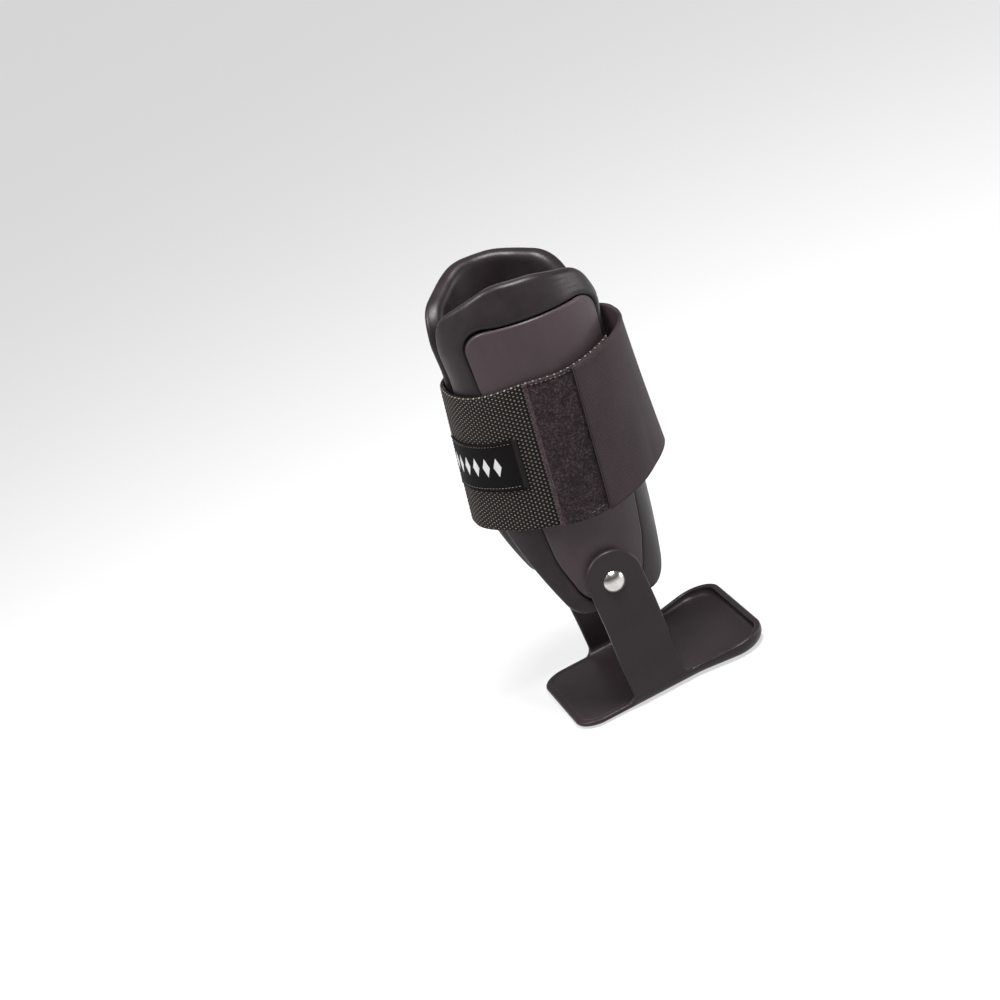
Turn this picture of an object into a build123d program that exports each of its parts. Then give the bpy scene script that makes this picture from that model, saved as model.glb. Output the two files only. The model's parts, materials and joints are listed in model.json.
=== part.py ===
from build123d import *
import os

# Hinged stirrup ankle brace for a left foot. Millimetres.
# +X points sideways to the outer (lateral) side, -Y to the toes and +Z up. The origin is
# under the footplate, straight below the ankle hinge axis, which runs along X.
# The cuff is drawn in its own upright frame, with its origin on the hinge axis, and is
# then leaned back by CUFF_LEAN. Angles round the cuff go from the lateral side to the rear.

# Driving dimensions
HINGE_HEIGHT = 67.0
CUFF_LEAN = 8.5
HINGE_FACE_GAP = 0.1

# Stirrup: two uprights and the footplate between them
WALL, STIRRUP_EDGE_ROUND = 3.2, 1.2
UPRIGHT_WIDTH = 28.0
UPRIGHT_CENTRE = 1.0
HEAD_CENTRE_ABOVE_HINGE = 1.2
UPRIGHT_OUTSIDE_LOW, UPRIGHT_OUTSIDE_HIGH = 41.4, 48.0
FLARE_BOTTOM, FLARE_TOP, FLARE_RADIUS = 21.0, 46.0, 40.0
PLATE_FRONT, PLATE_REAR = -45.0, 59.5
PLATE_FRONT_CORNER, PLATE_REAR_CORNER = 15.0, 16.0
PLATE_REAR_HALF_WIDTH = 50.0
PLATE_WIDENS_AT, PLATE_WIDENING_RADIUS = 22.0, 30.0
DISH_HEIGHT, DISH_RADIUS = 15.0, 6.5
RIM_FRONT, RIM_BEHIND_UPRIGHT, RIM_REAR = 3.4, 5.0, 9.0
GUSSET_RADIUS = 4.0

# Hinge rivet, with its washer and spacer
RIVET_RADIUS, RIVET_CLEARANCE = 2.5, 0.06
RIVET_HEAD_RADIUS, RIVET_HEAD_HEIGHT = 5.3, 2.6
RIVET_TAIL_RADIUS, RIVET_TAIL_HEIGHT = 4.2, 1.0
WASHER_RADIUS, WASHER_THICKNESS = 6.5, 0.8
SPACER_RADIUS, SPACER_THICKNESS = 8.0, 0.6
BOSS_RADIUS = 8.4
WASHER_SEAT = 39.9

# Side shells and pads. Each side is round about its own upright axis, a little in front of
# the hinge, and the two axes stand SIDE_AXIS_X either side of the middle.
SIDE_AXIS_X, CUFF_AXIS_Y = 3.0, -3.0
SHELL_RADIUS, SHELL_WALL, SHELL_EDGE_ROUND = 40.0, 2.4, 1.2
SHELL_OUTLINE = [
    ((-35.5, 132.0), 10), ((-33.5, 105.0), 60), ((-22.0, 14.0), 40), ((-13.0, -9.0), 13),
    ((15.5, -9.0), 13), ((22.0, 14.0), 40), ((31.0, 105.0), 60), ((31.5, 134.5), 10),
]
PAD_WALL, PAD_LIP_DROP, PAD_GROOVE = 9.0, 0.4, 0.6
PAD_EDGE_X = 12.0
PAD_OUTLINE = [
    ((-47.0, 131.0), 12), ((-47.0, 58.0), 40), ((-19.0, -14.5), 14), ((31.5, -14.5), 18),
    ((39.0, 45.0), 60), ((41.0, 138.0), 14), ((15.0, 149.0), 60), ((-20.0, 149.0), 60),
]
FASTENER_THICKNESS = 1.2
FASTENER_ANGLES = (-22.0, 22.0)
FASTENER_BOTTOM, FASTENER_TOP = 45.0, 120.0

# Strap, which wraps both shells
STRAP_BOTTOM, STRAP_TOP = 34.0, 106.0
REAR_BULGE = 2.5
PATCH_THICKNESS, PATCH_ANGLES, PATCH_MARGIN = 0.7, (-26.0, 24.0), 6.0
WEBBING_INSIDE, WEBBING_THICKNESS, WEBBING_ANGLES = 41.0, 1.9, (-212.0, 48.0)
LOOP_THICKNESS, LOOP_ANGLES, LOOP_MARGIN = 1.0, (-18.5, 46.0), 0.3
TAB_GAP = 0.3
TAB_HOOK_THICKNESS, TAB_HOOK_ANGLES, TAB_HOOK_MARGIN = 0.8, (13.0, 45.0), 3.0
LAMINATE_THICKNESS = 1.8
TAB_ANGLES = (10.0, 60.0)
REAR_STRAP_SHIFT_X, REAR_STRAP_INSIDE = 1.4, 44.3
REAR_STRAP_ANGLES = (62.0, 164.0)
REAR_STRAP_RISE, TAB_RISE = 5.5, 2.5
LABEL_THICKNESS, LABEL_ANGLES = 0.6, (-93.0, -28.0)
LABEL_BOTTOM, LABEL_TOP = 56.0, 81.5

# Worked out from the driving dimensions
UPRIGHT_INSIDE_HIGH = UPRIGHT_OUTSIDE_HIGH - WALL
UPRIGHT_INSIDE_LOW = UPRIGHT_OUTSIDE_LOW - WALL
UPRIGHT_FRONT = UPRIGHT_CENTRE - UPRIGHT_WIDTH / 2
UPRIGHT_REAR = UPRIGHT_CENTRE + UPRIGHT_WIDTH / 2
SPACER_FACE = UPRIGHT_INSIDE_HIGH - HINGE_FACE_GAP
BOSS_FACE = SPACER_FACE - SPACER_THICKNESS
SHELL_INSIDE = SHELL_RADIUS - SHELL_WALL
PAD_OUTSIDE = SHELL_INSIDE - FASTENER_THICKNESS
PAD_LIP = SHELL_RADIUS - PAD_LIP_DROP
PAD_INSIDE = SHELL_INSIDE - PAD_WALL
WEBBING_OUTSIDE = WEBBING_INSIDE + WEBBING_THICKNESS
TAB_HOOK_INSIDE = WEBBING_OUTSIDE + LOOP_THICKNESS + TAB_GAP
TAB_INSIDE = TAB_HOOK_INSIDE + TAB_HOOK_THICKNESS
FAR = 80.0


def in_place(shape):
    """Lean a shape of the cuff back about the hinge axis and lift it to the hinge."""
    return Pos(0, 0, HINGE_HEIGHT) * Rot(X=-CUFF_LEAN) * shape


def outline(corners):
    """A flat face from corner points, each with its own rounding."""
    points = [point for point, _ in corners]
    return make_face(FilletPolyline(*points, radius=[r for _, r in corners], close=True))


def side_prism(face, start, end):
    """A prism along X from an outline that is drawn in Y and Z."""
    return extrude(Plane.YZ.offset(start) * face, end - start)


def bar(radius, start, end, z=0.0):
    """A round bar along the hinge axis, between two places on X."""
    return side_prism(Pos(0, z) * Circle(radius), start, end)


def other_side(shape):
    return mirror(shape, Plane.YZ)


def tube(inside, outside, bottom, top):
    """A tube about the lateral side's own axis."""
    ring = Circle(outside) - Circle(inside) if inside else Circle(outside)
    return extrude(Pos(SIDE_AXIS_X, CUFF_AXIS_Y, bottom) * ring, top - bottom)


def edges_at(shape, radius):
    """The edges of a shape that lie at one radius about the lateral side's own axis."""
    def miss(point):
        return abs(Vector(point.X - SIDE_AXIS_X, point.Y - CUFF_AXIS_Y).length - radius)
    return [e for e in shape.edges() if max(miss(e @ t) for t in (0, 0.5, 1)) < 0.05]


def quarter_centre(angle, bulge, shift_x):
    """The centre of the quarter of the strap's loop that an angle lies in."""
    turn = angle % 360
    side = 1 if turn < 90 or turn > 270 else -1
    return side * SIDE_AXIS_X + shift_x, CUFF_AXIS_Y + (bulge if turn < 180 else 0.0)


def loop_edges(radius, start, end, bulge, shift_x):
    """Edges round the cuff at one radius: four quarter circles with short runs between."""
    stops = [start] + [90.0 * k for k in range(-3, 3) if start < 90 * k < end] + [end]
    edges = []
    for a, b in zip(stops, stops[1:]):
        centre = quarter_centre((a + b) / 2, bulge, shift_x)
        arc = CenterArc(centre, radius, a, b - a)
        if edges and (edges[-1] @ 1 - arc @ 0).length > 0.01:
            edges.append(Line(edges[-1] @ 1, arc @ 0))
        edges.append(arc)
    return edges


def band(inside, thickness, angles, bottom, top, bulge=REAR_BULGE, shift_x=0.0):
    """A strip of constant thickness that follows the cuff between two angles."""
    inner = loop_edges(inside, *angles, bulge, shift_x)
    outer = loop_edges(inside + thickness, *angles, bulge, shift_x)
    ends = [Line(inner[0] @ 0, outer[0] @ 0), Line(inner[-1] @ 1, outer[-1] @ 1)]
    face = make_face(inner + outer + ends)
    return extrude(Pos(0, 0, bottom) * face, top - bottom)


# Stirrup

def plate_outline(inset):
    """The footplate from above: straight beside the uprights and wider behind them."""
    side = [
        ((UPRIGHT_OUTSIDE_LOW - inset, PLATE_FRONT + inset), PLATE_FRONT_CORNER - inset),
        ((UPRIGHT_OUTSIDE_LOW - inset, PLATE_WIDENS_AT), PLATE_WIDENING_RADIUS + inset),
        ((PLATE_REAR_HALF_WIDTH - inset, PLATE_REAR - inset), PLATE_REAR_CORNER - inset),
    ]
    return outline(side + [((-x, y), r) for (x, y), r in reversed(side)])


def plate_block(inset, floor, top):
    """The footplate's outline as a block with a rounded underside."""
    block = extrude(Pos(0, 0, floor) * plate_outline(inset), top - floor)
    return fillet(block.faces().sort_by(Axis.Z)[0].edges(), DISH_RADIUS - inset)


def dish():
    """The footplate as a shallow dish, with a low rim in front that rises to the rear."""
    tray = plate_block(0.0, 0.0, DISH_HEIGHT) - plate_block(WALL, WALL, DISH_HEIGHT + 1)
    top = DISH_HEIGHT + 5
    front_cut = outline([
        ((PLATE_FRONT - 5, RIM_FRONT), 0), ((UPRIGHT_FRONT, RIM_FRONT), GUSSET_RADIUS),
        ((UPRIGHT_FRONT, top), 0), ((PLATE_FRONT - 5, top), 0),
    ])
    rear_cut = outline([
        ((UPRIGHT_REAR, RIM_BEHIND_UPRIGHT), GUSSET_RADIUS),
        ((PLATE_REAR + 5, RIM_REAR), 0), ((PLATE_REAR + 5, top), 0), ((UPRIGHT_REAR, top), 0),
    ])
    for cut in (front_cut, rear_cut):
        tray -= side_prism(cut, -FAR, FAR)
    return tray


def upright():
    """The lateral upright: narrow below, flared out to the hinge, with a round head."""
    top = HINGE_HEIGHT + HEAD_CENTRE_ABOVE_HINGE + UPRIGHT_WIDTH / 2
    foot = DISH_HEIGHT - 1
    head_round = UPRIGHT_WIDTH / 2 - 0.01
    side_view = outline([
        ((UPRIGHT_FRONT, foot), 0), ((UPRIGHT_REAR, foot), 0),
        ((UPRIGHT_REAR, top), head_round), ((UPRIGHT_FRONT, top), head_round),
    ])
    front_view = outline([
        ((UPRIGHT_OUTSIDE_LOW, foot), 0), ((UPRIGHT_OUTSIDE_LOW, FLARE_BOTTOM), FLARE_RADIUS),
        ((UPRIGHT_OUTSIDE_HIGH, FLARE_TOP), FLARE_RADIUS), ((UPRIGHT_OUTSIDE_HIGH, top), 0),
        ((UPRIGHT_INSIDE_HIGH, top), 0), ((UPRIGHT_INSIDE_HIGH, FLARE_TOP), FLARE_RADIUS + WALL),
        ((UPRIGHT_INSIDE_LOW, FLARE_BOTTOM), FLARE_RADIUS - WALL), ((UPRIGHT_INSIDE_LOW, foot), 0),
    ])
    strip = extrude(Plane.XZ * front_view, FAR, both=True)
    return strip & side_prism(side_view, 0, FAR)


def stirrup():
    """The one-piece stirrup, with its edges rounded and the rivet holes through both heads."""
    lateral = upright()
    shape = dish() + lateral + other_side(lateral)
    edges = [edge for edge in shape.edges() if (edge @ 0.5).Z > WALL + 0.05]
    shape = fillet(edges, STIRRUP_EDGE_ROUND)
    return shape - bar(RIVET_RADIUS + RIVET_CLEARANCE, -FAR, FAR, HINGE_HEIGHT)


# Hinge, on the lateral side

def rivet():
    """A domed rivet: head outside the upright, shank through the shell, flared tail inside."""
    head_base = UPRIGHT_OUTSIDE_HIGH + HINGE_FACE_GAP
    head_top = head_base + RIVET_HEAD_HEIGHT
    tail_base = WASHER_SEAT - WASHER_THICKNESS
    tail_end = tail_base - RIVET_TAIL_HEIGHT
    steps = Polyline(
        (head_top, 0), (tail_end, 0), (tail_end, RIVET_TAIL_RADIUS),
        (tail_base, RIVET_TAIL_RADIUS), (tail_base, RIVET_RADIUS), (head_base, RIVET_RADIUS),
        (head_base, RIVET_HEAD_RADIUS),
    )
    dome_radius = (RIVET_HEAD_RADIUS**2 + RIVET_HEAD_HEIGHT**2) / (2 * RIVET_HEAD_HEIGHT)
    dome = RadiusArc((head_base, RIVET_HEAD_RADIUS), (head_top, 0), dome_radius)
    return revolve(make_face([steps, dome]), Axis.X)


def rivet_washer():
    seat = WASHER_SEAT
    return bar(WASHER_RADIUS, seat - WASHER_THICKNESS, seat) - bar(RIVET_RADIUS, 0, FAR)


def hinge_spacer():
    return bar(SPACER_RADIUS, BOSS_FACE, SPACER_FACE) - bar(RIVET_RADIUS, 0, FAR)


# Cuff, on the lateral side

def shell():
    """The hard side shell, with a flat boss round the rivet and a seat for its washer."""
    skin = tube(SHELL_INSIDE, SHELL_RADIUS, -FAR, 2 * FAR)
    skin &= side_prism(outline(SHELL_OUTLINE), 0, FAR)
    skin = fillet(edges_at(skin, SHELL_RADIUS), SHELL_EDGE_ROUND)
    boss = bar(BOSS_RADIUS, SHELL_INSIDE - 10, BOSS_FACE) - tube(0, SHELL_INSIDE, -FAR, FAR)
    shape = skin + boss - bar(WASHER_RADIUS + 0.3, 0, WASHER_SEAT)
    return shape - bar(RIVET_RADIUS, 0, FAR)


def pad():
    """The foam pad behind the shell, with a lip that frames the shell's edge."""
    full = side_prism(outline(PAD_OUTLINE), PAD_EDGE_X, FAR)
    recess = side_prism(offset(outline(SHELL_OUTLINE), PAD_GROOVE), 0, FAR)
    base = tube(PAD_INSIDE, PAD_OUTSIDE, -FAR, 2 * FAR) & full
    lip = (tube(PAD_OUTSIDE - 1, PAD_LIP, -FAR, 2 * FAR) & full) - recess
    pocket = bar(WASHER_RADIUS + 1, WASHER_SEAT - WASHER_THICKNESS - RIVET_TAIL_HEIGHT - 0.7, FAR)
    return base + lip - pocket


def pad_fastener():
    return band(PAD_OUTSIDE, FASTENER_THICKNESS, FASTENER_ANGLES, FASTENER_BOTTOM,
                FASTENER_TOP, bulge=0.0)


def strap_patch():
    return band(SHELL_RADIUS, PATCH_THICKNESS, PATCH_ANGLES, STRAP_BOTTOM + PATCH_MARGIN,
                STRAP_TOP - PATCH_MARGIN, bulge=0.0)


# Strap

def front_strap():
    return band(WEBBING_INSIDE, WEBBING_THICKNESS, WEBBING_ANGLES, STRAP_BOTTOM, STRAP_TOP)


def strap_label():
    return band(WEBBING_OUTSIDE, LABEL_THICKNESS, LABEL_ANGLES, LABEL_BOTTOM, LABEL_TOP)


def loop_panel():
    return band(WEBBING_OUTSIDE, LOOP_THICKNESS, LOOP_ANGLES, STRAP_BOTTOM + LOOP_MARGIN,
                STRAP_TOP - LOOP_MARGIN)


def rear_strap():
    """The smooth strap behind the leg, which sits a little higher than the webbing there."""
    return band(REAR_STRAP_INSIDE, LAMINATE_THICKNESS, REAR_STRAP_ANGLES,
                STRAP_BOTTOM + REAR_STRAP_RISE, STRAP_TOP + REAR_STRAP_RISE,
                shift_x=REAR_STRAP_SHIFT_X)


def strap_tab():
    return band(TAB_INSIDE, LAMINATE_THICKNESS, TAB_ANGLES, STRAP_BOTTOM + TAB_RISE,
                STRAP_TOP + TAB_RISE)


def tab_hook():
    return band(TAB_HOOK_INSIDE, TAB_HOOK_THICKNESS, TAB_HOOK_ANGLES,
                STRAP_BOTTOM + TAB_HOOK_MARGIN, STRAP_TOP - TAB_HOOK_MARGIN)


SIDE_PARTS = {
    "shell": shell, "pad": pad, "pad_fastener": pad_fastener, "strap_patch": strap_patch,
    "rivet": rivet, "rivet_washer": rivet_washer, "hinge_spacer": hinge_spacer,
}
STRAP_PARTS = {
    "front_strap": front_strap, "strap_label": strap_label, "loop_panel": loop_panel,
    "rear_strap": rear_strap, "strap_tab": strap_tab, "tab_hook": tab_hook,
}

parts = {"stirrup": stirrup()}
for name, make in SIDE_PARTS.items():
    shape = make()
    parts[f"lateral_{name}"] = in_place(shape)
    parts[f"medial_{name}"] = in_place(other_side(shape))
for name, make in STRAP_PARTS.items():
    parts[name] = in_place(make())

os.makedirs("parts", exist_ok=True)
for name, shape in parts.items():
    export_step(shape, f"parts/{name}.step")
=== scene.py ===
import json
import math

import bmesh
import bpy
import numpy as np
from mathutils import Matrix, Vector, noise


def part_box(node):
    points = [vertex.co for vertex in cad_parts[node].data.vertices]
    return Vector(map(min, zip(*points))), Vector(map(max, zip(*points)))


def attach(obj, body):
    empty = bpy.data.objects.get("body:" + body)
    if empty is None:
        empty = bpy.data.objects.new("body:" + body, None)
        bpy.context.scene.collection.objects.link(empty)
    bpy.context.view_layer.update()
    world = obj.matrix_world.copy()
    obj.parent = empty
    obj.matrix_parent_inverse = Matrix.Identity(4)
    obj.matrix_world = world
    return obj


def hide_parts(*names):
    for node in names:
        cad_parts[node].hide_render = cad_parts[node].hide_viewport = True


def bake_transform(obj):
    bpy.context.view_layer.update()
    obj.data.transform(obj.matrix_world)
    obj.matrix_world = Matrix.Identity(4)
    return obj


# Looks of a hinged stirrup ankle brace: foam pads, a woven strap that wraps both shells,
# and finishes for the moulded and metal pieces. Blender's metres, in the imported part's frame.
# The cuff's soft pieces are drawn in its own upright frame, in millimetres, with the origin
# on the hinge axis, and in_place() leans and lifts them as the part's own are.

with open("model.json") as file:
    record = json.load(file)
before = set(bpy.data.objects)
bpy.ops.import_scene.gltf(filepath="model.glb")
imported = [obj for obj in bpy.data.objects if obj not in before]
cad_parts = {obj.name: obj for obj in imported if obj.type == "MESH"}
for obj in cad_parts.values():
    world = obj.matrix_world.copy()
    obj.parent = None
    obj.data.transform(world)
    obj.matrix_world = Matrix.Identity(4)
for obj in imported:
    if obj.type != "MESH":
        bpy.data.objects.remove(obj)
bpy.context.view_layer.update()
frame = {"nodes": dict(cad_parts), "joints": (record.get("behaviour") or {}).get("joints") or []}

MM = 0.001
JOINTS = {joint["name"]: joint for joint in frame["joints"]}
HINGE_HEIGHT = JOINTS["lateral_ankle_hinge"]["pos_m"][2]
PEEL_AXIS = JOINTS["strap_tab_peel"]["axis"]
CUFF_LEAN = math.atan2(PEEL_AXIS[1], PEEL_AXIS[2])

# The part's own sizes, which the soft pieces follow
SIDE_AXIS_X, CUFF_AXIS_Y, REAR_BULGE = 3.0, -3.0, 2.5
SHELL_RADIUS = 40.0
SHELL_OUTLINE = [
    ((-35.5, 132.0), 10), ((-33.5, 105.0), 60), ((-22.0, 14.0), 40), ((-13.0, -9.0), 13),
    ((15.5, -9.0), 13), ((22.0, 14.0), 40), ((31.0, 105.0), 60), ((31.5, 134.5), 10),
]
PAD_INSIDE, PAD_OUTSIDE, PAD_LIP = 28.6, 36.4, 39.6
STRAP_BOTTOM, STRAP_TOP = 34.0, 106.0
STRAP_WIDTH = STRAP_TOP - STRAP_BOTTOM
WEBBING_INSIDE, WEBBING_THICKNESS, WEBBING_ANGLES = 41.0, 1.9, (-212.0, 48.0)
WEBBING_OUTSIDE = WEBBING_INSIDE + WEBBING_THICKNESS
LOOP_THICKNESS, LOOP_ANGLES = 1.0, (-18.5, 46.0)
LABEL_THICKNESS, LABEL_ANGLES = 0.6, (-93.0, -31.0)
LABEL_BOTTOM, LABEL_TOP = 56.0, 81.5
TAB_INSIDE, LAMINATE_THICKNESS, TAB_START = 45.0, 1.8, 10.0
HOOK_INSIDE, HOOK_THICKNESS, HOOK_ANGLES, HOOK_MARGIN = 44.2, 0.8, (13.0, 45.0), 3.0
REAR_INSIDE, REAR_SHIFT_X, REAR_END = 44.3, 1.4, 164.0
PEEL_ANGLE = 60.1
PATCH_THICKNESS, PATCH_ANGLES, PATCH_MARGIN = 0.7, (-26.0, 24.0), 6.0
FASTENER_THICKNESS, FASTENER_ANGLES, FASTENER_HEIGHTS = 1.2, (-22.0, 22.0), (45.0, 120.0)


def smooth(x):
    """0 below 0, 1 above 1 and an even curve between."""
    x = np.clip(x, 0.0, 1.0)
    return x * x * (3 - 2 * x)


def hill(x, start, end):
    """A smooth hill of height 1 between two places."""
    middle = (start + end) / 2
    return smooth((x - start) / (middle - start)) * smooth((end - x) / (end - middle))


def in_place(points):
    """Points of the cuff's upright frame, in millimetres, as metres in the part's frame."""
    x, y, z = np.asarray(points, float).reshape(-1, 3).T * MM
    c, s = math.cos(CUFF_LEAN), math.sin(CUFF_LEAN)
    return np.column_stack([x, y * c + z * s, HINGE_HEIGHT + z * c - y * s])


# Meshes

def new_piece(name, points, faces, cloth=None):
    """A smooth-shaded mesh object; cloth is each point's place in the flat cloth, in mm."""
    mesh = bpy.data.meshes.new(name)
    mesh.from_pydata(np.asarray(points).tolist(), [], faces)
    mesh.polygons.foreach_set("use_smooth", [True] * len(mesh.polygons))
    if cloth is not None:
        attribute = mesh.attributes.new("cloth", "FLOAT_VECTOR", "POINT")
        attribute.data.foreach_set("vector", np.asarray(cloth, np.float32).ravel())
    mesh.update()
    piece = bpy.data.objects.new(name, mesh)
    bpy.context.scene.collection.objects.link(piece)
    return piece


def outward(piece):
    """Turns every face of a closed mesh to the outside."""
    work = bmesh.new()
    work.from_mesh(piece.data)
    bmesh.ops.recalc_face_normals(work, faces=work.faces)
    work.to_mesh(piece.data)
    work.free()


def quads(index):
    """The four-cornered faces of a grid of point numbers."""
    corners = [index[:-1, :-1], index[1:, :-1], index[1:, 1:], index[:-1, 1:]]
    return np.stack(corners, axis=-1).reshape(-1, 4).tolist()


def two_sided(outer, inner):
    """Points and faces of a closed sheet from two grids that share their border."""
    front = np.arange(outer.shape[0] * outer.shape[1]).reshape(outer.shape[:2])
    back = front.copy()
    inside = back[1:-1, 1:-1]
    back[1:-1, 1:-1] = front.size + np.arange(inside.size).reshape(inside.shape)
    points = np.concatenate([outer.reshape(-1, outer.shape[2]),
                             inner[1:-1, 1:-1].reshape(-1, inner.shape[2])])
    return points, quads(front) + quads(back.T)


# Strap: layers that follow the cuff, a little higher behind the leg than in front

STRAP_RISE, RISE_AT, RISE_POWER = 9.5, 45.0, 1.3
FRONT_DIP, DIP_START, DIP_WIDTH = 4.0, 12.0, 30.0
REAR_SPAN, REAR_FLARE = (52.0, 150.0), 7.4
FRONT_SPAN, FRONT_BOW, FRONT_TAPER = (-130.0, -52.0), 2.4, 3.0
WAVE_DEPTH = 0.16


def strap_height(z):
    """0 at the strap's bottom edge and 1 at its top edge."""
    return (z - STRAP_BOTTOM) / STRAP_WIDTH


def settle(angle, z):
    """How far the strap stands out from its round path, as the layers settle on the leg."""
    height = strap_height(z)
    start, end = REAR_SPAN
    rear = hill(angle, start, end) + hill(angle, start - 360, end - 360)
    front = hill(angle, *FRONT_SPAN)
    wave = np.sin(np.radians(angle * 3.1)) * np.sin(height * 2.6 + 0.4)
    return (rear * REAR_FLARE * (1 - height) + front * (FRONT_BOW - FRONT_TAPER * height)
            + WAVE_DEPTH * wave)


class Path:
    """Even steps round the cuff, through the middles of the strap's quarter circles."""

    def __init__(self, radius, angles, step, shift_x=0.0, bulge=REAR_BULGE):
        angle = np.linspace(*angles, 1 + int(2 * (angles[1] - angles[0])))
        radius = radius(angle) if callable(radius) else radius
        shift_x = shift_x(angle) if callable(shift_x) else shift_x
        turn = angle % 360
        side = np.where((turn < 90) | (turn > 270), 1, -1)
        x = side * SIDE_AXIS_X + shift_x + radius * np.cos(np.radians(angle))
        y = CUFF_AXIS_Y + np.where(turn < 180, bulge, 0) + radius * np.sin(np.radians(angle))
        along = np.concatenate([[0], np.cumsum(np.hypot(np.diff(x), np.diff(y)))])
        self.length = along[-1]
        self.along = np.linspace(0, self.length, 1 + round(self.length / step))
        self.angle, self.x, self.y = (np.interp(self.along, along, v) for v in (angle, x, y))

    def at(self, along, z, out):
        """Points of the upright frame at a place along the path, a height and an offset."""
        angle, x, y = (np.interp(along, self.along, v) for v in (self.angle, self.x, self.y))
        out = out + settle(angle, z)
        turn = np.radians(angle)
        x, y = x + out * np.cos(turn), y + out * np.sin(turn)
        rise = STRAP_RISE * (np.clip(y, 0, None) / RISE_AT)**RISE_POWER
        dip = FRONT_DIP * smooth((-y - DIP_START) / DIP_WIDTH) * strap_height(z)
        return np.stack([x, y, z + rise - dip], axis=-1)


def across(bottom, top, step, edge):
    """Heights from one edge to the other, closer together over the rounded edges."""
    near = edge * np.array([0.0, 0.12, 0.45])
    middle = np.linspace(bottom + edge, top - edge, 1 + round((top - bottom - 2 * edge) / step))
    return np.concatenate([bottom + near, middle, top - near[::-1]])


def layer(name, path, heights, thickness, relief=None, edge=0.9, lift=None):
    """A closed cloth layer on a path. relief(s, z) raises the outside, lift(s, z) the whole."""
    s, z = np.meshgrid(path.along, heights, indexing="ij")
    from_edge = np.minimum.reduce([s, path.length - s, z - heights[0], heights[-1] - z])
    part = 1 - np.clip(from_edge / edge, 0, 1)
    half = thickness / 2 * np.sqrt(1 - part**2)
    rise = lift(s, z) if lift else 0.0
    outer = half + (relief(s, z) * (half > 0) if relief else 0.0)
    sides = [np.concatenate([path.at(s, z, thickness / 2 + rise + side),
                             np.stack([s, z, side], axis=-1)], axis=-1) for side in (outer, -half)]
    points, faces = two_sided(*sides)
    return new_piece(name, in_place(points[:, :3]), faces, points[:, 3:])


WEAVE_ALONG, WEAVE_ROWS = 1.7, 70
WEAVE_ACROSS = STRAP_WIDTH / WEAVE_ROWS
PROUD_YARN, SUNK_YARN = 0.30, 0.10


def plain_weave(s, z):
    """Yarns over and under each other: the ones along the strap stand prouder."""
    over = np.sin(np.pi * s / WEAVE_ALONG) * np.sin(np.pi * (z - STRAP_BOTTOM) / WEAVE_ACROSS)
    return np.where(over > 0, PROUD_YARN, SUNK_YARN) * np.abs(over)


def webbing_path():
    return Path(WEBBING_INSIDE, WEBBING_ANGLES, WEAVE_ALONG / 2)


def front_strap(path):
    heights = np.linspace(STRAP_BOTTOM, STRAP_TOP, 1 + 2 * WEAVE_ROWS)
    return layer("front_strap_webbing", path, heights, WEBBING_THICKNESS, plain_weave, edge=0.9)


def pile(s, z):
    """The uneven pile of loop fabric."""
    heights = np.array([noise.noise(Vector((a * 0.9, b * 0.9, 3.0))) * 0.6
                        + noise.noise(Vector((a * 2.3, b * 2.3, 8.0))) * 0.4
                        for a, b in zip(s.ravel(), z.ravel())])
    return 0.16 * heights.reshape(s.shape)


LOOP_HEM = 2.2
LOOP_OVERHANG = 0.5


def loop_path():
    return Path(WEBBING_OUTSIDE, LOOP_ANGLES, 0.5)


def loop_panel(path):
    bottom, top = STRAP_BOTTOM - LOOP_OVERHANG, STRAP_TOP - 0.3

    def relief(s, z):
        hem = 0.42 * smooth((LOOP_HEM - s) / 0.5)
        fold = 0.22 * (smooth((bottom + 2.6 - z) / 0.6) + smooth((z - top + 2.0) / 0.6))
        return pile(s, z) + hem + fold

    return layer("loop_panel_fabric", path, across(bottom, top, 0.5, 0.5), LOOP_THICKNESS,
                 relief, edge=0.5)


LABEL_FOLD_WIDTH = 2.6


def label(path):
    def relief(s, z):
        return 0.35 * smooth((s - path.length + LABEL_FOLD_WIDTH) / 0.5)

    def lift(s, z):
        curl = smooth((z - LABEL_TOP + 2.2) / 2.2) + 0.6 * smooth((LABEL_BOTTOM + 2.0 - z) / 2.0)
        return 0.45 * curl * smooth((path.length - s) / 6)

    return layer("strap_label_cloth", path, across(LABEL_BOTTOM, LABEL_TOP, 0.6, 0.3),
                 LABEL_THICKNESS, relief, edge=0.3, lift=lift)


def wrap_path():
    """The smooth strap's line: close on the shell under the tab, a little wider behind."""
    def behind(angle):
        return smooth((angle - PEEL_ANGLE + 5) / 10)
    return Path(lambda a: TAB_INSIDE + (REAR_INSIDE - TAB_INSIDE) * behind(a),
                (TAB_START, REAR_END), 0.75, lambda a: REAR_SHIFT_X * behind(a))


def rear_wrap(path):
    def relief(s, z):
        rib = 0.03 * np.sin(2 * np.pi * s / 1.5)
        band = 0.25 * hill(z, STRAP_TOP - 3.4, STRAP_TOP - 0.6)
        return rib + band
    return layer("smooth_strap_laminate", path, across(STRAP_BOTTOM, STRAP_TOP, 1.0, 0.8),
                 LAMINATE_THICKNESS, relief, edge=0.8)


def hook_tape(path):
    heights = across(STRAP_BOTTOM + HOOK_MARGIN, STRAP_TOP - HOOK_MARGIN, 1.2, 0.2)
    return layer("tab_hook_backing", path, heights, HOOK_THICKNESS / 2, edge=0.2)


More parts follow.
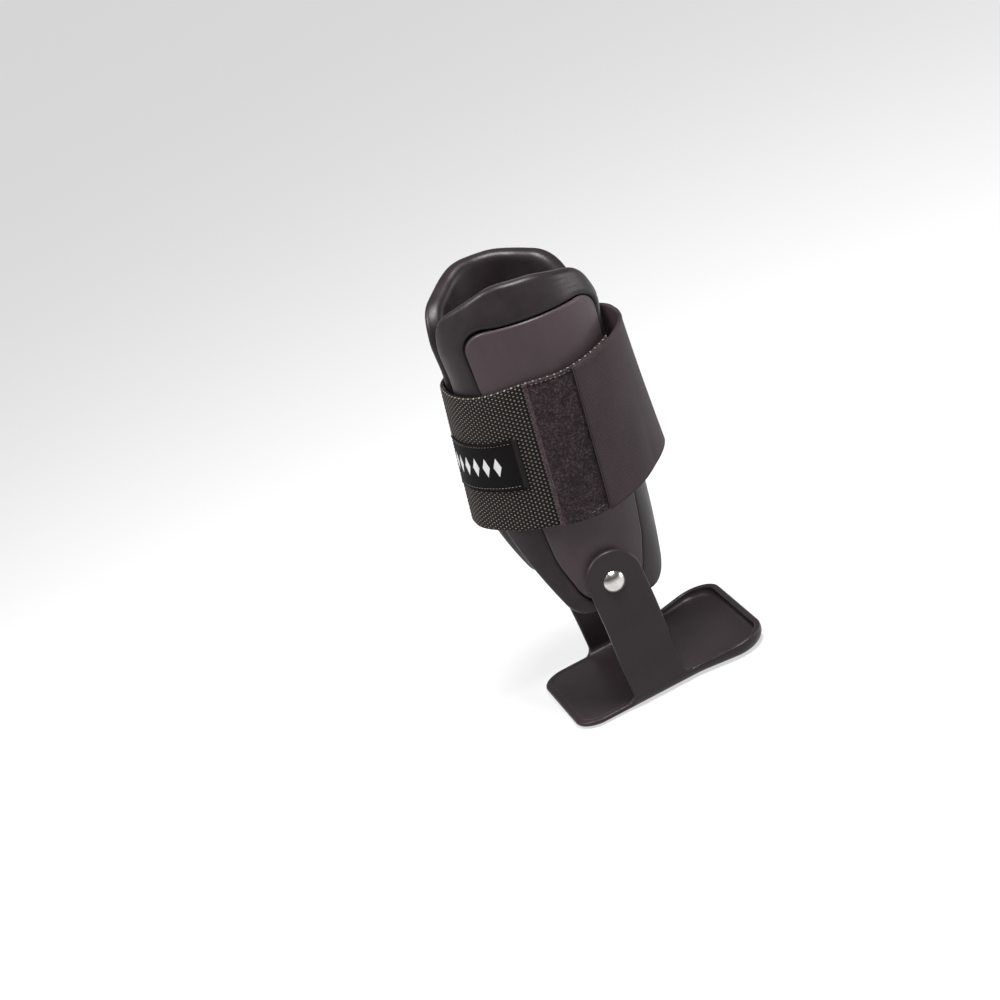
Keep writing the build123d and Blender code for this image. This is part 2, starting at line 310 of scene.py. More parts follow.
def hooks(path):
    """Rows of small bent hooks on the tab's tape, pointing at the loop panel."""
    pitch, root, tip = 1.3, HOOK_THICKNESS / 2, 0.08
    bottom, top = STRAP_BOTTOM + HOOK_MARGIN, STRAP_TOP - HOOK_MARGIN
    places = [(s, z) for s in np.arange(1.0, path.length - 0.8, pitch)
              for z in np.arange(bottom + 1, top - 0.8, pitch)]
    bends = [(0.0, root, 0.12), (0.0, 0.2, 0.1), (0.1, tip, 0.1), (0.32, 0.12, 0.06)]
    points, faces = [], []
    for s, z in places:
        first = len(points)
        for shift, out, half in bends:
            for a, b in ((-half, -half), (half, -half), (half, half), (-half, half)):
                points.append((s + shift + a, z + b, out))
        for ring in range(len(bends) - 1):
            for k in range(4):
                a, b = first + 4 * ring + k, first + 4 * ring + (k + 1) % 4
                faces.append((a, b, b + 4, a + 4))
        faces += [tuple(first + k for k in range(4)), tuple(len(points) - 1 - k for k in range(4))]
    s, z, out = np.array(points).T
    piece = new_piece("tab_hook_hooks", in_place(path.at(s, z, out)), faces)
    outward(piece)
    return piece


THREAD_RADIUS, STITCH_RINGS, THREAD_SIDES = 0.17, 6, 6
THREAD_SINK, THREAD_RISE = 0.12, 0.26


def stitching(name, path, rows, out, pitch=2.4, gap=0.7):
    """Thread in dashes along rows, each from (s, z) to (s, z) on a layer's outside."""
    points, faces = [], []
    for start, end in rows:
        start, end = np.array(start, float), np.array(end, float)
        length = np.hypot(*(end - start))
        count = max(1, round(length / pitch))
        ahead = (end - start) / length
        side = np.array([-ahead[1], ahead[0]])
        for k in range(count):
            first = len(points)
            for ring, t in enumerate(np.linspace(0, 1, STITCH_RINGS)):
                place = start + ahead * (k * length / count + gap / 2 + t * (length / count - gap))
                swell = math.sin(math.pi * (0.08 + 0.84 * t))
                for turn in np.arange(THREAD_SIDES) * 2 * np.pi / THREAD_SIDES:
                    a, b = THREAD_RADIUS * swell * math.cos(turn), THREAD_RADIUS * math.sin(turn)
                    points.append((*(place + side * a), out - THREAD_SINK + THREAD_RISE * swell + b * swell))
                if ring:
                    base = first + (ring - 1) * THREAD_SIDES
                    for n in range(THREAD_SIDES):
                        m = (n + 1) % THREAD_SIDES
                        faces.append((base + n, base + m, base + m + THREAD_SIDES,
                                      base + n + THREAD_SIDES))
            faces.append(tuple(first + n for n in range(THREAD_SIDES)))
            faces.append(tuple(len(points) - 1 - n for n in range(THREAD_SIDES)))
    s, z, rise = np.array(points).T
    piece = new_piece(name, in_place(path.at(s, z, rise)), faces)
    outward(piece)
    return piece


# Pads

PAD_FLAT_RADIUS = PAD_LIP
PAD_OUTLINE = [
    ((-60.0, 137.0), 20), ((-58.0, 52.0), 30), ((-18.0, -14.5), 14), ((39.0, -14.5), 18),
    ((53.0, 30.0), 50), ((53.5, 125.0), 20), ((37.5, 146.6), 20), ((6.0, 152.2), 60),
    ((-18.0, 152.2), 40),
]
RING_POINTS, FILL_COLUMNS = 440, 22
RIM_OUTSIDE, RIM_INSIDE = 2.4, 4.2
MARGIN_TILT = 2.6
GROOVE, GROOVE_WIDENING = 0.45, 2.4
LIP_STEPS = ((0.0, 2.0), (0.15, 1.0), (0.55, 0.45), (1.2, 0.12), (2.2, 0.0))
LIP_WIDTH, MARGIN_CROWN = 2.2, 0.25
PAD_UNDERLAP, GROOVE_WALL = 1.5, 0.25
PAD_REAR_FLARE, PAD_FRONT_FLARE = 3.4, 3.6
RIVET_RELIEF, RIVET_RELIEF_RADIUS, RIVET_RELIEF_SLOPE = 2.4, 11.0, 3.0


def rounded(corners, count):
    """Evenly spaced points along a closed outline whose corners each have their own radius."""
    places = [Vector(place) for place, _ in corners]
    points = []
    for k, (_, radius) in enumerate(corners):
        here = places[k]
        back = (places[k - 1] - here).normalized()
        ahead = (places[(k + 1) % len(places)] - here).normalized()
        half = back.angle(ahead) / 2
        centre = here + (back + ahead).normalized() * radius / math.sin(half)
        first = here + back * radius / math.tan(half) - centre
        last = here + ahead * radius / math.tan(half) - centre
        sweep = math.pi - 2 * half
        points += [tuple(centre + (first * math.sin(sweep * (1 - t)) + last * math.sin(sweep * t))
                         / math.sin(sweep)) for t in np.linspace(0, 1, 12)]
    x, y = np.array(points + points[:1]).T
    along = np.concatenate([[0], np.cumsum(np.hypot(np.diff(x), np.diff(y)))])
    even = np.linspace(0, along[-1], count, endpoint=False)
    return np.column_stack([np.interp(even, along, x), np.interp(even, along, y)])


def outward_normals(loop):
    """The outward normals of an outline's points, in its plane."""
    tangent = np.roll(loop, -1, axis=0) - np.roll(loop, 1, axis=0)
    normal = np.column_stack([tangent[:, 1], -tangent[:, 0]])
    normal /= np.hypot(*normal.T)[:, None]
    x, y = loop.T
    turning = np.sum(x * np.roll(y, -1) - y * np.roll(x, -1))
    return normal * np.sign(turning)


def reach(loop, normals, outer):
    """How far each point of an outline is from a larger one, along its normal."""
    start, span = outer, np.roll(outer, -1, axis=0) - outer
    gap = start[None] - loop[:, None]
    det = normals[:, None, 0] * -span[None, :, 1] + span[None, :, 0] * normals[:, None, 1]
    far = (gap[..., 0] * -span[None, :, 1] + span[None, :, 0] * gap[..., 1]) / det
    part = (normals[:, None, 0] * gap[..., 1] - gap[..., 0] * normals[:, None, 1]) / det
    far[(part < 0) | (part > 1) | (far < 0)] = np.inf
    return far.min(axis=1)


def quarter(x):
    """How far a rounded rim has dropped, as a share, at a share of its width from the edge."""
    return 1 - np.sqrt(1 - (1 - np.clip(x, 0, 1))**2)


def creases(s, z):
    """Fine lines pressed into the foam near the rear top corner."""
    depth = np.zeros_like(s)
    for k in range(4):
        line = 144.5 - 2.4 * k - 0.11 * (s - 20) - 0.004 * (s - 20)**2
        depth += 0.26 * np.exp(-((z - line) / 0.6)**2) * hill(s, -6 + 7 * k, 46 - 3 * k)
    for k in range(3):
        line = 139.0 - 5 * k - 0.9 * (s - 46)
        depth += 0.45 * np.exp(-((z - line) / 0.8)**2) * hill(s, 40.5, 52)
    return depth


def rim_drop(from_edge):
    """How far the pad's outer face has rolled away, this far from the pad's edge."""
    return RIM_OUTSIDE * quarter(from_edge / RIM_OUTSIDE)


def pad_rings(shell):
    """Rings of (s, z, radius): from under the shell over the lip and rim to the inner face."""
    normals = outward_normals(shell)
    margin = reach(shell, normals, rounded(PAD_OUTLINE, 2 * RING_POINTS))
    s, z = shell.T
    groove = GROOVE + GROOVE_WIDENING * hill(s, -70, -14) * smooth((z - 96) / 26)
    rings = []

    def ring(out, radius):
        place = shell + normals * np.asarray(out).reshape(-1, 1)
        rings.append(np.column_stack([place, np.broadcast_to(radius, len(shell))]))

    ring(np.full(len(shell), -PAD_UNDERLAP), PAD_OUTSIDE)
    ring(groove - GROOVE_WALL, PAD_OUTSIDE)
    for step, drop in LIP_STEPS:
        ring(groove + step, PAD_LIP - drop - rim_drop(margin - groove - step))
    for share in np.sin(np.linspace(0, np.pi / 2, 20))[1:]:
        out = groove + LIP_WIDTH + (margin - groove - LIP_WIDTH) * share
        crown = MARGIN_CROWN * np.sin(np.pi * share) * smooth((margin - 6) / 6)
        tilt = MARGIN_TILT * share * smooth((z - 104) / 26)
        ring(out, PAD_LIP + crown - tilt - rim_drop(margin - out))
    for share in 1 - np.cos(np.linspace(0, np.pi / 2, 12)[1:]):
        ring(margin * (1 - share), PAD_INSIDE + RIM_INSIDE * quarter(margin * share / RIM_INSIDE))
    return rings


def filled(rings, top):
    """Points and faces of rings joined in order, both ends filled by rows down from the top."""
    count, total = len(rings), len(rings[0])
    index = np.arange(count * total).reshape(count, total)
    faces = quads(np.column_stack([index, index[:, 0]]))
    points = [np.concatenate(rings)]
    share = np.linspace(0, 1, FILL_COLUMNS + 1)[1:-1]
    for edge in (0, count - 1):
        around = np.roll(index[edge], -top)
        ahead = around[1:total // 2]
        behind = np.roll(index[edge][::-1], top + 1 - total)[1:total // 2]
        a, b = points[0][ahead], points[0][behind]
        inner = a[:, None] + (b - a)[:, None] * share[None, :, None]
        first = sum(len(p) for p in points)
        points.append(inner.reshape(-1, 3))
        fill = first + np.arange(inner.shape[0] * inner.shape[1]).reshape(inner.shape[:2])
        grid = np.column_stack([ahead, fill, behind])
        faces += quads(grid)
        for tip, row in ((around[0], grid[0]), (around[total // 2], grid[-1])):
            faces += [(int(tip), int(p), int(q)) for p, q in zip(row, row[1:])]
    return np.concatenate(points), faces


def pad(name):
    """The lateral pad: a closed foam form round the shell, with a lip, groove and rolled rim."""
    shell = rounded(SHELL_OUTLINE, RING_POINTS)
    shell[:, 0] = PAD_FLAT_RADIUS * np.arcsin((shell[:, 0] - CUFF_AXIS_Y) / SHELL_RADIUS)
    points, faces = filled(pad_rings(shell), int(np.argmax(shell[:, 1])))
    s, z, radius = points.T
    outside = radius > (PAD_INSIDE + PAD_OUTSIDE) / 2
    radius = radius - np.where(outside, creases(s, z), 0)
    radius = radius + PAD_REAR_FLARE * smooth((s - 24) / 30) * smooth((z - 109) / 26)
    radius = radius + PAD_FRONT_FLARE * smooth((-s - 34) / 26) * smooth((z - 104) / 20)
    turn = s / PAD_FLAT_RADIUS
    place = np.column_stack([SIDE_AXIS_X + radius * np.cos(turn),
                             CUFF_AXIS_Y + radius * np.sin(turn), z])
    from_rivet = np.hypot(place[:, 1], place[:, 2])
    relief = RIVET_RELIEF * smooth((RIVET_RELIEF_RADIUS - from_rivet) / RIVET_RELIEF_SLOPE)
    place[:, 0] -= np.where(outside, relief, 0)
    piece = new_piece(name, in_place(place), faces)
    outward(piece)
    return piece


def mirrored(piece, name):
    """The medial twin of a lateral piece."""
    mesh = piece.data.copy()
    mesh.transform(Matrix.Scale(-1, 4, Vector((1, 0, 0))))
    mesh.flip_normals()
    twin = bpy.data.objects.new(name, mesh)
    mesh.name = name
    bpy.context.scene.collection.objects.link(twin)
    return twin


# Finishes

class Finish:
    """A procedural material, with short calls for the nodes that it is made of."""

    def __init__(self, name, **sockets):
        self.material = bpy.data.materials.new(name)
        self.material.use_nodes = True
        self.tree = self.material.node_tree
        self.surface = self.tree.nodes["Principled BSDF"]
        for socket, value in sockets.items():
            self.surface.inputs[socket.replace("_", " ")].default_value = value

    def node(self, kind, inputs, output=0, **settings):
        made = self.tree.nodes.new("ShaderNode" + kind)
        for setting, value in settings.items():
            setattr(made, setting, value)
        for socket, value in inputs.items():
            self.put(made.inputs[socket], value)
        return made.outputs[output]

    def put(self, socket, value):
        if isinstance(value, bpy.types.NodeSocket):
            self.tree.links.new(value, socket)
        else:
            socket.default_value = value

    def set(self, **sockets):
        for socket, value in sockets.items():
            self.put(self.surface.inputs[socket.replace("_", " ")], value)

    def space(self, scale=(1, 1, 1)):
        """Object coordinates in millimetres, stretched by scale."""
        place = self.tree.nodes.new("ShaderNodeTexCoord").outputs["Object"]
        return self.node("Mapping", {"Vector": place, "Scale": [1000 * v for v in scale]})

    def cloth(self, scale=(1, 1, 1)):
        """The place in the flat cloth, in millimetres, stretched by scale."""
        place = self.node("Attribute", {}, "Vector", attribute_name="cloth")
        return self.node("Mapping", {"Vector": place, "Scale": scale})

    def split(self, vector):
        made = self.tree.nodes.new("ShaderNodeSeparateXYZ")
        self.put(made.inputs[0], vector)
        return made.outputs

    def math(self, operation, a, b=0.0, c=0.0):
        return self.node("Math", {0: a, 1: b, 2: c}, operation=operation)

    def noise(self, vector, scale, detail=3.0, roughness=0.55):
        return self.node("TexNoise", {"Vector": vector, "Scale": scale, "Detail": detail,
                                      "Roughness": roughness}, "Fac")

    def ramp(self, value, *stops):
        made = self.tree.nodes.new("ShaderNodeValToRGB")
        elements = made.color_ramp.elements
        while len(elements) < len(stops):
            elements.new(0.5)
        for element, (place, shade) in zip(elements, stops):
            element.position = place
            element.color = (*shade, 1) if len(shade) == 3 else (*shade * 3, 1)
        self.put(made.inputs[0], value)
        return made.outputs["Color"]

    def bump(self, height, depth, normal=None, strength=1.0):
        """depth is in millimetres."""
        inputs = {"Height": height, "Distance": depth * MM, "Strength": strength}
        if normal is not None:
            inputs["Normal"] = normal
        return self.node("Bump", inputs)

    def mix(self, share, a, b, blend_type="MIX"):
        made = self.tree.nodes.new("ShaderNodeMix")
        made.data_type = "RGBA"
        made.blend_type = blend_type
        for socket, value in ((0, share), (6, a), (7, b)):
            self.put(made.inputs[socket], value)
        return made.outputs[2]


def tint(value, warmth=0.2):
    """A dark grey with a warm, slightly purple cast."""
    return (value * (1 + warmth), value * (1 - 0.7 * warmth), value * (1 - 0.1 * warmth))


def moulded(name, value, roughness, grain):
    """Satin moulded plastic: fine grain, faint flow marks and soft rubbed patches."""
    made = Finish(name, Specular_IOR_Level=0.2)
    cloud = made.noise(made.space(), 0.035, 4)
    streak = made.noise(made.space((1, 1, 0.12)), 0.5, 3)
    fine = made.noise(made.space(), grain, 2)
    patch = made.math("MULTIPLY_ADD", streak, 0.25, made.math("MULTIPLY", cloud, 0.75))
    colour = made.ramp(patch, (0.3, tint(value * 0.86)), (0.7, tint(value * 1.16)))
    grainy = made.math("MULTIPLY_ADD", fine, 0.06, roughness - 0.12)
    rough = made.math("MULTIPLY_ADD", cloud, 0.14, grainy)
    made.set(Base_Color=colour, Roughness=rough,
             Normal=made.bump(fine, 0.02, made.bump(cloud, 0.5, strength=0.25)))
    return made.material


def foam(name):
    """Skinned EVA foam: satin, with a soft mottle and very fine pores."""
    made = Finish(name, Specular_IOR_Level=0.22)
    cloud = made.noise(made.space((1, 1, 1)), 0.06, 4, 0.6)
    pores = made.noise(made.space(), 3.2, 2)
    dents = made.noise(made.space((1, 1, 0.5)), 0.22, 3)
    colour = made.ramp(cloud, (0.3, tint(0.008)), (0.7, tint(0.016)))
    rough = made.math("MULTIPLY_ADD", dents, 0.16, made.math("MULTIPLY_ADD", pores, 0.08, 0.27))
    made.set(Base_Color=colour, Roughness=rough,
             Normal=made.bump(pores, 0.03, made.bump(dents, 0.22, strength=0.5)))
    return made.material


def strap_edge_band(made, height, width=0.9):
    """1 within a strap's top and bottom edges."""
    from_middle = made.math("ABSOLUTE", made.math("SUBTRACT", height, (STRAP_BOTTOM + STRAP_TOP) / 2))
    return made.math("GREATER_THAN", from_middle, STRAP_WIDTH / 2 - width)


def woven(name):
    """Coarse webbing in a plain weave: proud yarns lighter than sunk ones, with painted shade in the gaps
    between the yarns.
    """
    made = Finish(name, Sheen_Weight=0.0, Specular_IOR_Level=0.1)
    place = made.split(made.cloth())
    along = made.math("SINE", made.math("MULTIPLY", place[0], math.pi / WEAVE_ALONG))
    rise = made.math("SUBTRACT", place[1], STRAP_BOTTOM)
    across = made.math("SINE", made.math("MULTIPLY", rise, math.pi / WEAVE_ACROSS))
    over = made.math("MULTIPLY", along, across)
    fibres = made.noise(made.cloth((1, 7, 1)), 1.6, 3)
    height = made.math("ABSOLUTE", over)
    # Painted shade: the colour darkens towards the gaps between the yarns and lightens on every crest.
    share = made.math("MULTIPLY_ADD", over, 0.24, made.math("MULTIPLY", height, 0.72))
    share = made.math("ADD", share, made.math("MULTIPLY_ADD", fibres, 0.36, -0.18))
    share = made.math("ADD", share, made.math("MULTIPLY", strap_edge_band(made, place[1], 0.5), 0.1))
    yarn_tone_and_gap_shade = made.ramp(share, (0.1, (0.0016, 0.0013, 0.0011)), (0.36, (0.012, 0.0098, 0.0084)),
                     (0.62, (0.062, 0.052, 0.045)), (0.92, (0.24, 0.211, 0.186)))
    wear = made.noise(made.cloth(), 0.08, 3)
    colour = made.mix(made.math("MULTIPLY", wear, 0.16), yarn_tone_and_gap_shade, (0.03, 0.027, 0.024, 1))
    made.set(Base_Color=colour, Roughness=made.math("MULTIPLY_ADD", fibres, 0.2, 0.55),
             Normal=made.bump(fibres, 0.08, made.bump(height, 0.25)))
    return made.material


def looped(name):
    """Loop fabric: a matted, mottled pile."""
    made = Finish(name, Sheen_Weight=0.02, Sheen_Roughness=0.45, Specular_IOR_Level=0.1)
    place = made.split(made.cloth())
    tufts = made.noise(made.cloth(), 1.1, 2, 0.5)
    cloud = made.noise(made.cloth(), 0.14, 3)
    specks = made.math("GREATER_THAN", made.noise(made.cloth(), 2.1, 1), 0.66)
    hem = made.math("LESS_THAN", place[0], LOOP_HEM)
    mottle = made.math("MULTIPLY_ADD", cloud, 0.28, made.math("MULTIPLY", tufts, 0.72))
    mottle = made.math("MULTIPLY_ADD", specks, 0.16, mottle)
    mottle = made.math("MULTIPLY_ADD", hem, 0.13, mottle)
    colour = made.ramp(mottle, (0.34, tint(0.008)), (0.52, tint(0.0195)), (0.75, tint(0.058)))
    made.set(Base_Color=colour, Roughness=0.9, Normal=made.bump(tufts, 0.22))
    return made.material


def knitted(name):
    """The smooth strap's face: a fine ribbed knit over foam, with painted shade along its top and bottom
    edges.
    """
    made = Finish(name, Sheen_Weight=0.02, Sheen_Roughness=0.4, Specular_IOR_Level=0.1)
    place = made.split(made.cloth())
    rib = made.math("SINE", made.math("MULTIPLY", place[0], 2 * math.pi / 0.75))
    course = made.math("SINE", made.math("MULTIPLY", place[1], 2 * math.pi / 0.55))
    knit = made.math("MULTIPLY_ADD", made.math("MULTIPLY", rib, course), 0.3,
                     made.math("MULTIPLY", rib, 0.35))
    fuzz = made.noise(made.cloth(), 2.4, 3)
    cloud = made.noise(made.cloth((1, 0.6, 1)), 0.05, 3)
    shade = made.math("MULTIPLY_ADD", knit, 0.42, made.math("MULTIPLY_ADD", fuzz, 0.5, 0.09))
    shade = made.math("MULTIPLY_ADD", cloud, 0.25, shade)
    # Painted shade: the smooth strap's colour is darkened along its top and bottom edges.
    shade = made.math("MULTIPLY_ADD", strap_edge_band(made, place[1]), -0.12, shade)
    colour = made.ramp(shade, (0.15, tint(0.008)), (0.5, tint(0.027)), (0.9, tint(0.075)))
    made.set(Base_Color=colour, Roughness=made.math("MULTIPLY_ADD", fuzz, 0.15, 0.55),
             Normal=made.bump(knit, 0.07, made.bump(fuzz, 0.06)))
    return made.material


def label_cloth(name, middle, length):
    """A near-black woven label with a plain row of lighter lozenges, and a painted highlight on its folded
    end.
    """
    made = Finish(name, Specular_IOR_Level=0.06)
    place = made.split(made.cloth())
    ribs = made.math("SINE", made.math("MULTIPLY", place[1], 2 * math.pi / 0.5))
    cell = made.math("FRACT", made.math("DIVIDE", place[0], 7.0))
    aside = made.math("ABSOLUTE", made.math("SUBTRACT", cell, 0.5))
    up = made.math("ABSOLUTE", made.math("SUBTRACT", place[1], middle))
    size = made.math("MULTIPLY_ADD", aside, 2.4, made.math("DIVIDE", up, 6.2))
    motif = made.math("MULTIPLY", made.math("LESS_THAN", size, 0.8),
                      made.math("LESS_THAN", place[0], 42.0))
    rib = made.math("MULTIPLY_ADD", ribs, 0.5, 0.5)
    ground = made.ramp(rib, (0.1, tint(0.0012)), (0.9, tint(0.003)))
    light = made.ramp(rib, (0.1, (0.42,)), (0.9, (0.66,)))
    # Painted highlight: the folded end is coloured lighter than the rest of the label.
    fold = made.math("GREATER_THAN", place[0], length - LABEL_FOLD_WIDTH)
    ground_and_fold_highlight = made.mix(fold, ground, (0.011, 0.0095, 0.0088, 1))
    made.set(Base_Color=made.mix(motif, ground_and_fold_highlight, light), Roughness=0.6,
             Normal=made.bump(ribs, 0.05))
    return made.material


def thread(name):
    """Dark, slightly shiny sewing thread."""
    made = Finish(name, Specular_IOR_Level=0.4, Sheen_Weight=0.1)
    twist = made.noise(made.space((1, 1, 1)), 5.0, 2)
    made.set(Base_Color=made.ramp(twist, (0.3, (0.06, 0.055, 0.05)), (0.7, (0.16, 0.15, 0.14))),
             Roughness=0.55, Normal=made.bump(twist, 0.06))
    return made.material


def hooked(name):
    """Near-black hook tape."""
    made = Finish(name, Specular_IOR_Level=0.5)
    grain = made.noise(made.space(), 2.0, 2)
    made.set(Base_Color=made.ramp(grain, (0.3, (0.014,)), (0.7, (0.028,))),
             Roughness=made.math("MULTIPLY_ADD", grain, 0.2, 0.4), Normal=made.bump(grain, 0.05))
    return made.material


def nickel(name):
    """Bright nickel-plated steel with faint wear."""
    made = Finish(name, Metallic=1.0)
    fine = made.noise(made.space(), 2.5, 3)
    cloud = made.noise(made.space(), 0.25, 2)
    made.set(Base_Color=made.ramp(cloud, (0.3, (0.5, 0.49, 0.46)), (0.7, (0.62, 0.6, 0.57))),
             Roughness=made.math("MULTIPLY_ADD", fine, 0.12, 0.16), Normal=made.bump(fine, 0.01))
    return made.material


def paint(piece, material):
    piece.data.materials.clear()
    piece.data.materials.append(material)


# Dressing the part

FINISHES = {
    "stirrup_plastic": moulded("stirrup_plastic", 0.016, 0.42, 1.4),
    "shell_plastic": moulded("shell_plastic", 0.038, 0.38, 1.9),
    "spacer_plastic": moulded("spacer_plastic", 0.012, 0.45, 2.5),
    "eva_foam": foam("eva_foam"),
    "polished_steel": nickel("polished_steel"),
    "webbing": woven("webbing"),
    "loop_fabric": looped("loop_fabric"),
    "strap_laminate": knitted("strap_laminate"),
    "hook_tape": hooked("hook_tape"),
    "label_fabric": label_cloth("label_fabric", (LABEL_BOTTOM + LABEL_TOP) / 2,
                                Path(WEBBING_OUTSIDE, LABEL_ANGLES, 0.5).length),
}
THREAD = thread("stitching_thread")
CAD_FINISHES = {
    "stirrup": "stirrup_plastic", "shell": "shell_plastic", "rivet": "polished_steel",
    "rivet_washer": "polished_steel", "hinge_spacer": "spacer_plastic",
}


def dress(piece, body, slot, *nodes, material=None):
    """Gives a piece its finish, its CAD body and the CAD nodes that it stands for."""
    paint(piece, material or FINISHES[slot])
    if body:
        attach(piece, body)
    if nodes:
        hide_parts(*nodes)
    return piece


def dress_cad_nodes():
    for name, node in frame["nodes"].items():
        kind = name.split("_", 1)[1] if name.startswith(("lateral_", "medial_")) else name
        if kind in CAD_FINISHES:
            paint(node, FINISHES[CAD_FINISHES[kind]])


def make_pads():
    lateral = pad("lateral_foam_pad")
    medial = mirrored(lateral, "medial_foam_pad")
    for side, piece in (("lateral", lateral), ("medial", medial)):
        dress(piece, f"{side}_cuff", "eva_foam", f"{side}_pad")


def make_hidden_fasteners():
    """The loop patches under the strap and the hook-and-loop sheets behind the shells."""
    kinds = (
        ("strap_patch", "loop_patch", SHELL_RADIUS, PATCH_THICKNESS, PATCH_ANGLES,
         (STRAP_BOTTOM + PATCH_MARGIN, STRAP_TOP - PATCH_MARGIN), "loop_fabric"),
        ("pad_fastener", "pad_hook_sheet", PAD_OUTSIDE, FASTENER_THICKNESS, FASTENER_ANGLES,
         FASTENER_HEIGHTS, "hook_tape"),
    )
    for node, what, radius, thickness, angles, heights, slot in kinds:
        path = Path(radius, angles, 1.0, bulge=0.0)
        lateral = layer(f"lateral_{what}", path, across(*heights, 1.0, 0.3), thickness, edge=0.3)
        medial = mirrored(lateral, f"medial_{what}")
        for side, piece in (("lateral", lateral), ("medial", medial)):
            dress(piece, f"{side}_cuff", slot, f"{side}_{node}")


def make_webbing():
    path = webbing_path()
    webbing = dress(front_strap(path), "lateral_cuff", "webbing", "front_strap")
    return webbing


def make_loop_panel():
    path = loop_path()
    panel = dress(loop_panel(path), "lateral_cuff", "loop_fabric", "loop_panel")
    top, bottom = STRAP_TOP - 1.5, STRAP_BOTTOM + 1.3
    rows = [((3.2, top), (26, top)), ((15, bottom + 0.6), (23, bottom + 1.8))]
    seams = stitching("loop_panel_stitching", path, rows, LOOP_THICKNESS + 0.1)
    dress(seams, "lateral_cuff", "label_fabric", material=THREAD)
    return panel


def make_label():
    path = Path(WEBBING_OUTSIDE, LABEL_ANGLES, 0.5)
    tag = dress(label(path), "lateral_cuff", "label_fabric", "strap_label")
    start, end = 1.5, path.length - LABEL_FOLD_WIDTH - 1.2
    bottom, top = LABEL_BOTTOM + 1.6, LABEL_TOP - 1.7
    rows = [((start, z), (end, z)) for z in (top, bottom)]
    rows += [((start, bottom), (start, top))]
    seams = stitching("label_stitching", path, rows, LABEL_THICKNESS + 0.05, pitch=1.9)
    dress(seams, "lateral_cuff", "label_fabric", material=THREAD)


def make_smooth_strap():
    """The smooth strap and its boxed and crossed seam at the medial end."""
    path = wrap_path()
    wrap = dress(rear_wrap(path), None, "strap_laminate", "rear_strap", "strap_tab")
    blend_over_peel(wrap)
    near, far = path.length - 10.0, path.length - 2.0
    bottom, top = STRAP_BOTTOM + 2, STRAP_TOP - 2
    rows = [((s, bottom), (s, top)) for s in (far, near)]
    rows += [((near, z), (far, z)) for z in (bottom, top)]
    rows += [((near, bottom), (far, top)), ((far, bottom), (near, top))]
    seams = stitching("medial_seam_stitching", path, rows, LAMINATE_THICKNESS + 0.1, pitch=2.8)
    dress(seams, "lateral_cuff", "strap_laminate", material=THREAD)
    return wrap


def make_tab_hooks(wrap):
    path = Path(HOOK_INSIDE, HOOK_ANGLES, 1.0)
    backing = hook_tape(Path(HOOK_INSIDE + HOOK_THICKNESS / 2, HOOK_ANGLES, 1.0))
    dress(backing, "strap_tab", "hook_tape", "tab_hook")
    points = hooks(path)
    dress(points, "strap_tab", "hook_tape")


def make_strap():
    webbing = make_webbing()
    panel = make_loop_panel()
    make_label()
    make_tab_hooks(make_smooth_strap())


def blend_over_peel(piece):
    """Bakes the smooth strap's placement into its mesh."""
    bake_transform(piece)


# Stage, light and camera

CAMERA_AZIMUTH, CAMERA_ELEVATION, CAMERA_ROLL = map(math.radians, (83.0, 19.0, 24.9))
CAMERA_DISTANCE, LENS, SENSOR = 1.4, 103.8, 36.0
LOOK_AT_HEIGHT = 0.100
RIVET_RIGHT_OF_CENTRE, RIVET_BELOW_CENTRE = 0.0564, 0.0404


def camera_axes():
    """Right, up and back of the camera, in the part's frame."""
    az, el, roll = CAMERA_AZIMUTH, CAMERA_ELEVATION, CAMERA_ROLL
    right = Vector((math.cos(az), math.sin(az), 0))
    back = Vector((math.sin(az) * math.cos(el), -math.cos(az) * math.cos(el), math.sin(el)))
    up = back.cross(right)
    return (right * math.cos(roll) - up * math.sin(roll),
            right * math.sin(roll) + up * math.cos(roll), back)


def make_camera():
    right, up, back = camera_axes()
    rivet = Vector((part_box("lateral_rivet")[1].x, 0, HINGE_HEIGHT))
    depth = (rivet - Vector((0, 0, LOOK_AT_HEIGHT))).dot(back)
    nearer = 1 - depth / CAMERA_DISTANCE
    target = (rivet - back * depth - right * RIVET_RIGHT_OF_CENTRE * nearer
              + up * RIVET_BELOW_CENTRE * nearer)
    data = bpy.data.cameras.new("camera")
    data.lens, data.sensor_width = LENS, SENSOR
    camera = bpy.data.objects.new("camera", data)
    bpy.context.scene.collection.objects.link(camera)
    turn = Matrix((right, up, back)).transposed().to_4x4()
    camera.matrix_world = Matrix.Translation(target + back * CAMERA_DISTANCE) @ turn
    bpy.context.scene.camera = camera


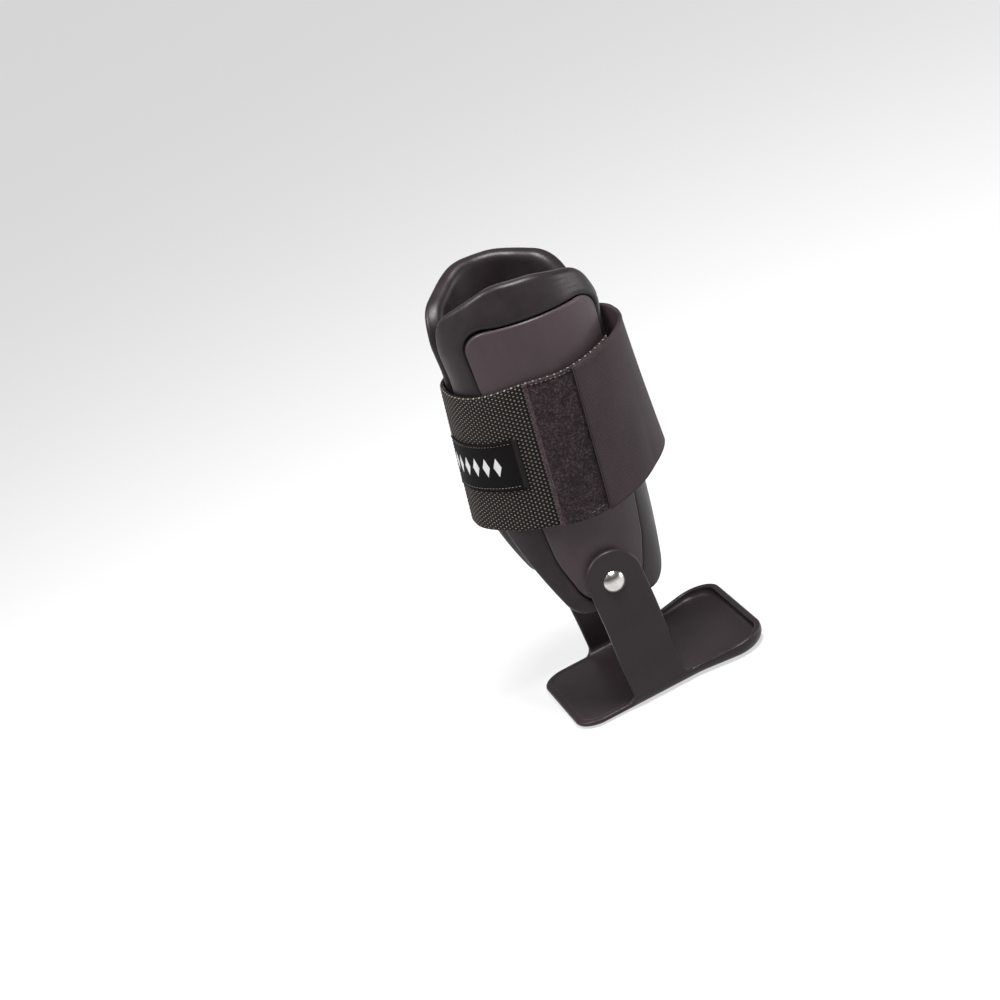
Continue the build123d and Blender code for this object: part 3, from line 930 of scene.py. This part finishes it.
def area_light(name, offset, size, power):
    """A square softbox at an offset along the camera's right, up and back."""
    middle = Vector((0, 0, LOOK_AT_HEIGHT))
    place = middle + sum((axis * part for axis, part in zip(camera_axes(), offset)), Vector())
    data = bpy.data.lights.new(name, "AREA")
    data.size, data.energy = size, power
    light = bpy.data.objects.new(name, data)
    bpy.context.scene.collection.objects.link(light)
    light.location = place
    light.rotation_mode = "QUATERNION"
    light.rotation_quaternion = (middle - place).to_track_quat("-Z", "Y")


FLOOR_RADIUS, FLOOR_BEND, FLOOR_SIDES = 30.0, 8.0, 96


def studio_floor():
    """A flat round floor that curves up far away, so that no horizon shows."""
    bend = np.linspace(0, math.pi / 2, 10)
    turn = np.arange(FLOOR_SIDES) * 2 * math.pi / FLOOR_SIDES
    radius = np.concatenate([[0.5], FLOOR_RADIUS + FLOOR_BEND * np.sin(bend)])
    height = np.concatenate([[0.0], FLOOR_BEND * (1 - np.cos(bend))]) - 0.0002
    x, y = radius[:, None] * np.cos(turn), radius[:, None] * np.sin(turn)
    points = np.stack(np.broadcast_arrays(x, y, height[:, None]), axis=-1).reshape(-1, 3)
    index = np.arange(len(points)).reshape(len(radius), FLOOR_SIDES)
    faces = quads(np.column_stack([index, index[:, 0]])) + [index[0].tolist()]
    return new_piece("floor", points, faces)


FLOOR_SHADE, FLOOR_GLOW, WORLD_GLOW = 0.26, 0.62, 0.14
SOFTBOXES = (
    ("top_softbox", (-0.12, 0.75, 0.5), 0.32, 17),
    ("right_softbox", (0.95, 0.45, 0.1), 0.3, 3.2),
    ("left_softbox", (-0.85, 0.4, 0.25), 0.4, 10),
)


def make_stage():
    floor = studio_floor()
    made = Finish("floor_paper", Roughness=0.9, Specular_IOR_Level=0.1)
    made.set(Base_Color=(FLOOR_SHADE, FLOOR_SHADE, FLOOR_SHADE, 1), Emission_Color=(1, 1, 1, 1),
             Emission_Strength=FLOOR_GLOW)
    paint(floor, made.material)
    world = bpy.data.worlds.new("studio")
    world.use_nodes = True
    background = world.node_tree.nodes["Background"].inputs
    background["Color"].default_value = (1, 1, 1, 1)
    background["Strength"].default_value = WORLD_GLOW
    bpy.context.scene.world = world
    bpy.context.scene.view_settings.view_transform = "Standard"
    for name, offset, size, power in SOFTBOXES:
        area_light(name, offset, size, power)


dress_cad_nodes()
make_pads()
make_hidden_fasteners()
make_strap()
make_camera()
make_stage()
